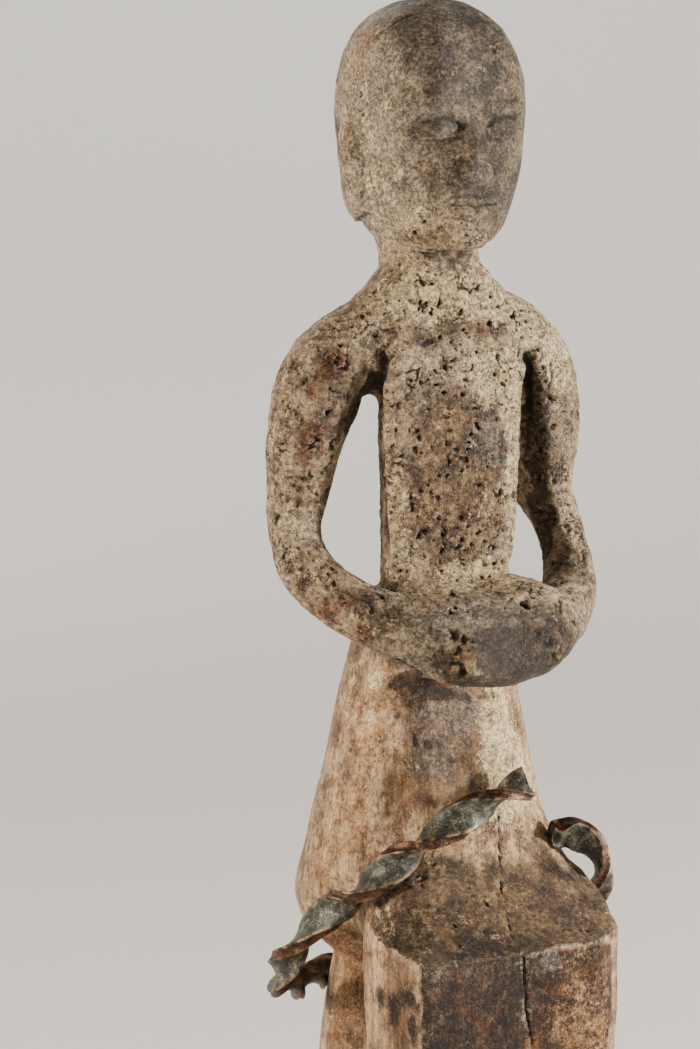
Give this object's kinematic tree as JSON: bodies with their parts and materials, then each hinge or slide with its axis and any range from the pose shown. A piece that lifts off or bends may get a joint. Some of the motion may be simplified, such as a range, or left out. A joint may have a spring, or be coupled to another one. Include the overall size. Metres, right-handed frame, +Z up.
{
  "type": "cult statue",
  "caption": "Small carved wooden figure seated on a post over a low base, hands joined at the belly, with an open twisted metal ring hung round its lap.",
  "frame": {"origin": "centre of the base's underside", "axes": "+Z up, the figure faces -Y and its left hand is towards +X"},
  "size_m": [0.0979, 0.108, 0.348],
  "materials": {
    "carved_wood": "old hand-carved wood, crusted and pitted above, bare and grained below, with dark stains",
    "dark_metal": "dark copper alloy with green patina in the hollows and worn reddish edges"
  },
  "bodies": {
    "root": {"figure": "carved_wood", "twisted_ring": "dark_metal"}
  },
  "joints": []
}
